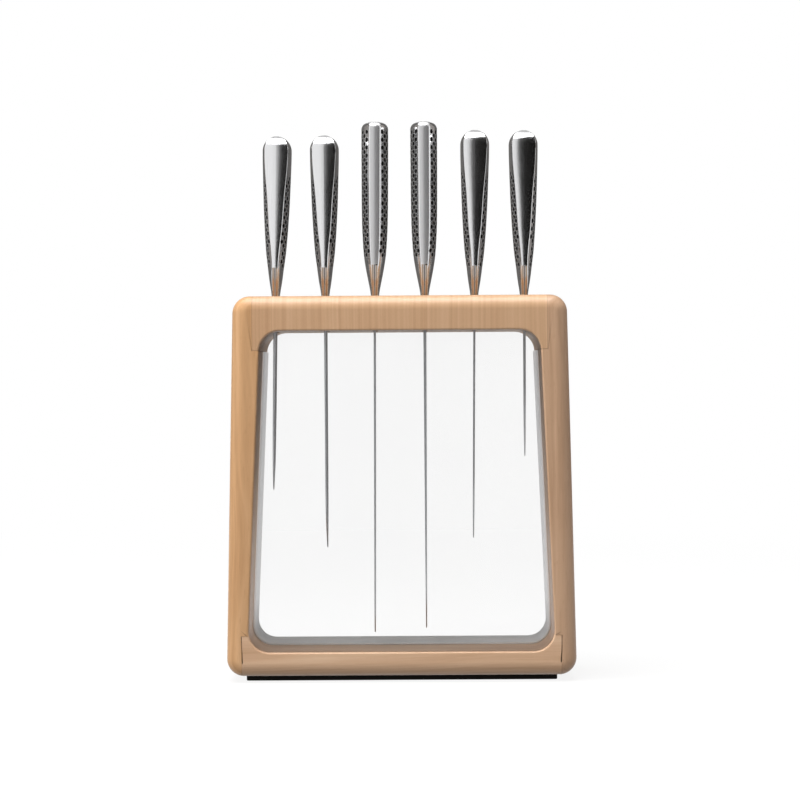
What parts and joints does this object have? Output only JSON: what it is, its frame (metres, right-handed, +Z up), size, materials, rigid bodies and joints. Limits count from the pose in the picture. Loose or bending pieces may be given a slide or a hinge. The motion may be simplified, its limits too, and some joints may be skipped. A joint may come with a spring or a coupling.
{
  "type": "knife block with knives",
  "caption": "Tapered wooden knife block with clear windows front and back, a slotted top board and hollow-handled steel knives that draw out upwards.",
  "frame": {"origin": "on the surface the block stands on, under the middle of the whole object", "axes": "+X along the row of knives to the right, +Y to the back, +Z up"},
  "size_m": [0.232, 0.1, 0.3727],
  "materials": {
    "frame_wood": "satin oiled maple, end grain on the top board's front",
    "dowel_wood": "plain beech dowel",
    "window": "clear polished acrylic sheet",
    "liner": "satin grey sheet",
    "base_rubber": "matt black",
    "blade_steel": "fine ground satin",
    "handle_steel": "satin brushed, black dimples",
    "sand": "dry loose sand"
  },
  "bodies": {
    "block": {"top_board": "frame_wood", "bottom_board": "frame_wood", "left_side_board": "frame_wood", "right_side_board": "frame_wood", "joint_dowels": "dowel_wood", "front_window": "window", "rear_window": "window", "chamber_liner": "liner", "non_slip_base": "base_rubber"},
    "knife_1": {"knife_1_blade": "blade_steel", "knife_1_left_shell": "handle_steel", "knife_1_right_shell": "handle_steel", "knife_1_sand": "sand"},
    "knife_2": {"knife_2_blade": "blade_steel", "knife_2_left_shell": "handle_steel", "knife_2_right_shell": "handle_steel", "knife_2_sand": "sand"},
    "knife_3": {"knife_3_blade": "blade_steel", "knife_3_left_shell": "handle_steel", "knife_3_right_shell": "handle_steel", "knife_3_sand": "sand"},
    "knife_4": {"knife_4_blade": "blade_steel", "knife_4_left_shell": "handle_steel", "knife_4_right_shell": "handle_steel", "knife_4_sand": "sand"},
    "knife_5": {"knife_5_blade": "blade_steel", "knife_5_left_shell": "handle_steel", "knife_5_right_shell": "handle_steel", "knife_5_sand": "sand"},
    "knife_6": {"knife_6_blade": "blade_steel", "knife_6_left_shell": "handle_steel", "knife_6_right_shell": "handle_steel", "knife_6_sand": "sand"}
  },
  "joints": [
    {"name": "knife_1_draw", "type": "slide", "parent": "block", "child": "knife_1", "axis": [0.0175, 0, 0.9998], "range_m": [0, 0.135]},
    {"name": "knife_2_draw", "type": "slide", "parent": "block", "child": "knife_2", "axis": [0, 0, 1], "range_m": [0, 0.175]},
    {"name": "knife_3_draw", "type": "slide", "parent": "block", "child": "knife_3", "axis": [0.0052, 0, 1], "range_m": [0, 0.231]},
    {"name": "knife_4_draw", "type": "slide", "parent": "block", "child": "knife_4", "axis": [0, 0, 1], "range_m": [0, 0.229]},
    {"name": "knife_5_draw", "type": "slide", "parent": "block", "child": "knife_5", "axis": [0.0087, 0, 1], "range_m": [0, 0.168]},
    {"name": "knife_6_draw", "type": "slide", "parent": "block", "child": "knife_6", "axis": [0, 0, 1], "range_m": [0, 0.113]}
  ]
}
